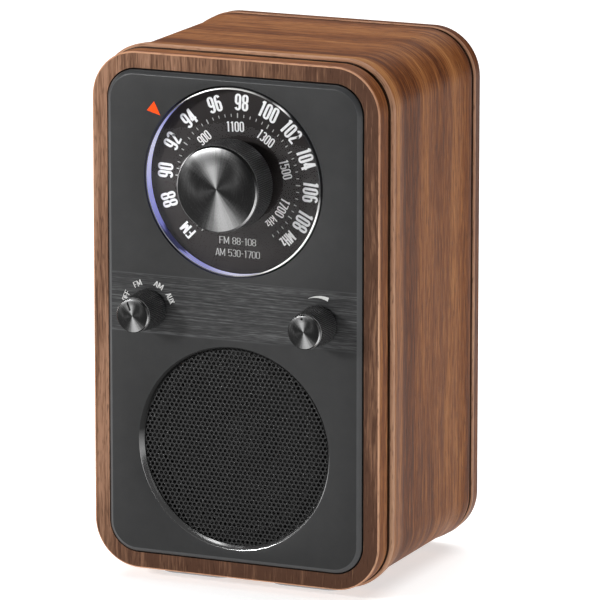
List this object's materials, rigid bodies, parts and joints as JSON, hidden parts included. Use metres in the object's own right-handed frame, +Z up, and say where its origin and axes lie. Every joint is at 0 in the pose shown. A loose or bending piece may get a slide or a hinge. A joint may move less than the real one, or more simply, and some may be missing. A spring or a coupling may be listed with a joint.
{
  "type": "tabletop radio",
  "caption": "Upright tabletop radio in a rounded walnut cabinet: rotating dial behind a large geared tuning knob, selector and volume knobs, round speaker grille, rear sockets.",
  "frame": {"origin": "on the surface the feet rest on, centred in width, half way between the front of the tuning knob and the end of the antenna socket", "axes": "+Z up along the cabinet's height, +Y towards the rear cover, +X to the right seen from the front"},
  "size_m": [0.1156, 0.1156, 0.1971],
  "materials": {
    "walnut_body": "satin walnut veneer",
    "walnut_front": "satin walnut veneer",
    "walnut_rear": "satin walnut veneer",
    "pine_block": "raw softwood",
    "foot_rubber": "matt light grey rubber",
    "panel_plastic": "fine satin charcoal with a brushed band",
    "screw_steel": "zinc plated",
    "dial_clear": "clear polished acrylic",
    "dial_print": "printed dark brown-black",
    "gear_nylon": "natural nylon",
    "shaft_steel": "turned",
    "bracket_steel": "zinc plated sheet",
    "control_case": "pressed can",
    "knob_side": "black anodised, fine straight knurl",
    "spun_cap": "gunmetal, spun radial finish",
    "grille_steel": "black powder coat",
    "gasket_foam": "closed cell foam",
    "basket_steel": "pressed steel",
    "cone_paper": "black paper pulp",
    "surround_rubber": "soft black",
    "spider_cloth": "impregnated cloth",
    "coil_copper": "enamelled copper wire",
    "ferrite": "dark grey sintered",
    "board_laminate": "green solder mask",
    "heatsink_metal": "extruded",
    "chip_resin": "moulded epoxy",
    "capacitor_case": "shrink sleeve",
    "clip_plastic": "moulded",
    "rear_plastic": "fine textured charcoal",
    "screw_black": "black oxide",
    "jack_plastic": "moulded black",
    "antenna_metal": "nickel plated"
  },
  "bodies": {
    "cabinet": {"cabinet_body": "walnut_body", "front_frame": "walnut_front", "rear_frame": "walnut_rear", "corner_blocks": "pine_block", "feet": "foot_rubber", "front_panel": "panel_plastic", "panel_screws": "screw_steel", "idler_pin": "shaft_steel", "gear_plate": "bracket_steel", "gear_plate_screws": "screw_steel", "tuning_pot": "control_case", "tuning_pot_nut": "screw_steel", "volume_pot": "control_case", "selector_switch": "control_case", "control_nuts": "screw_steel", "control_washers": "screw_steel", "speaker_grille": "grille_steel", "speaker_gasket": "gasket_foam", "speaker_basket": "basket_steel", "speaker_screws": "screw_steel", "speaker_surround": "surround_rubber", "speaker_spider": "spider_cloth", "magnet_front_plate": "basket_steel", "ring_magnet": "ferrite", "magnet_back_plate": "basket_steel", "main_board": "board_laminate", "board_screws": "screw_steel", "heatsink": "heatsink_metal", "chips": "chip_resin", "capacitors": "capacitor_case", "ferrite_rod": "ferrite", "antenna_coil": "coil_copper", "rod_clips": "clip_plastic", "rear_cover": "rear_plastic", "rear_screws": "screw_black", "dc_jack": "jack_plastic", "aux_socket": "jack_plastic", "headphone_socket": "jack_plastic", "antenna_socket": "antenna_metal"},
    "dial": {"dial_lens": "dial_clear", "dial_plate": "dial_print", "dial_gear": "gear_nylon"},
    "tuning_knob": {"tuning_knob": "knob_side", "tuning_knob_cap": "spun_cap", "tuning_shaft": "shaft_steel", "shaft_clip": "shaft_steel"},
    "idler": {"idler_gear": "gear_nylon"},
    "tuning_rotor": {"tuning_pot_shaft": "shaft_steel", "tuning_pot_gear": "gear_nylon"},
    "volume_knob": {"volume_knob": "knob_side", "volume_knob_cap": "spun_cap", "volume_shaft": "shaft_steel"},
    "selector_knob": {"selector_knob": "knob_side", "selector_knob_cap": "spun_cap", "selector_shaft": "shaft_steel"},
    "cone": {"speaker_cone": "cone_paper", "speaker_dust_cap": "cone_paper", "voice_coil": "coil_copper"}
  },
  "joints": [
    {"name": "dial_turn", "type": "hinge", "parent": "cabinet", "child": "dial", "pos_m": [0, -0.04175, 0.15115], "axis": [0, 1, 0], "range_deg": [-176, 64]},
    {"name": "tuning_knob_turn", "type": "hinge", "parent": "cabinet", "child": "tuning_knob", "pos_m": [0, -0.04175, 0.15115], "axis": [0, 1, 0], "range_deg": [-704, 256]},
    {"name": "idler_turn", "type": "hinge", "parent": "cabinet", "child": "idler", "pos_m": [0.014, -0.04175, 0.15115], "axis": [0, 1, 0], "range_deg": [-85.5, 234.8]},
    {"name": "tuning_rotor_turn", "type": "hinge", "parent": "cabinet", "child": "tuning_rotor", "pos_m": [-0.016, -0.04175, 0.15115], "axis": [0, 1, 0], "range_deg": [-64, 176]},
    {"name": "volume_turn", "type": "hinge", "parent": "cabinet", "child": "volume_knob", "pos_m": [0.0337, -0.04175, 0.10195], "axis": [0, 1, 0], "range_deg": [-142, 158]},
    {"name": "selector_turn", "type": "hinge", "parent": "cabinet", "child": "selector_knob", "pos_m": [-0.0337, -0.04175, 0.10195], "axis": [0, 1, 0], "range_deg": [-45, 90]},
    {"name": "cone_travel", "type": "slide", "parent": "cabinet", "child": "cone", "axis": [0, 1, 0], "range_m": [-0.001, 0.001], "stiffness_N_per_m": 1200, "deforming": ["speaker_surround", "speaker_spider"]}
  ],
  "couplings": [
    {"joint": "tuning_knob_turn", "follows": "dial_turn", "ratio": 4},
    {"joint": "idler_turn", "follows": "dial_turn", "ratio": -1.3333},
    {"joint": "tuning_rotor_turn", "follows": "dial_turn", "ratio": -1}
  ]
}
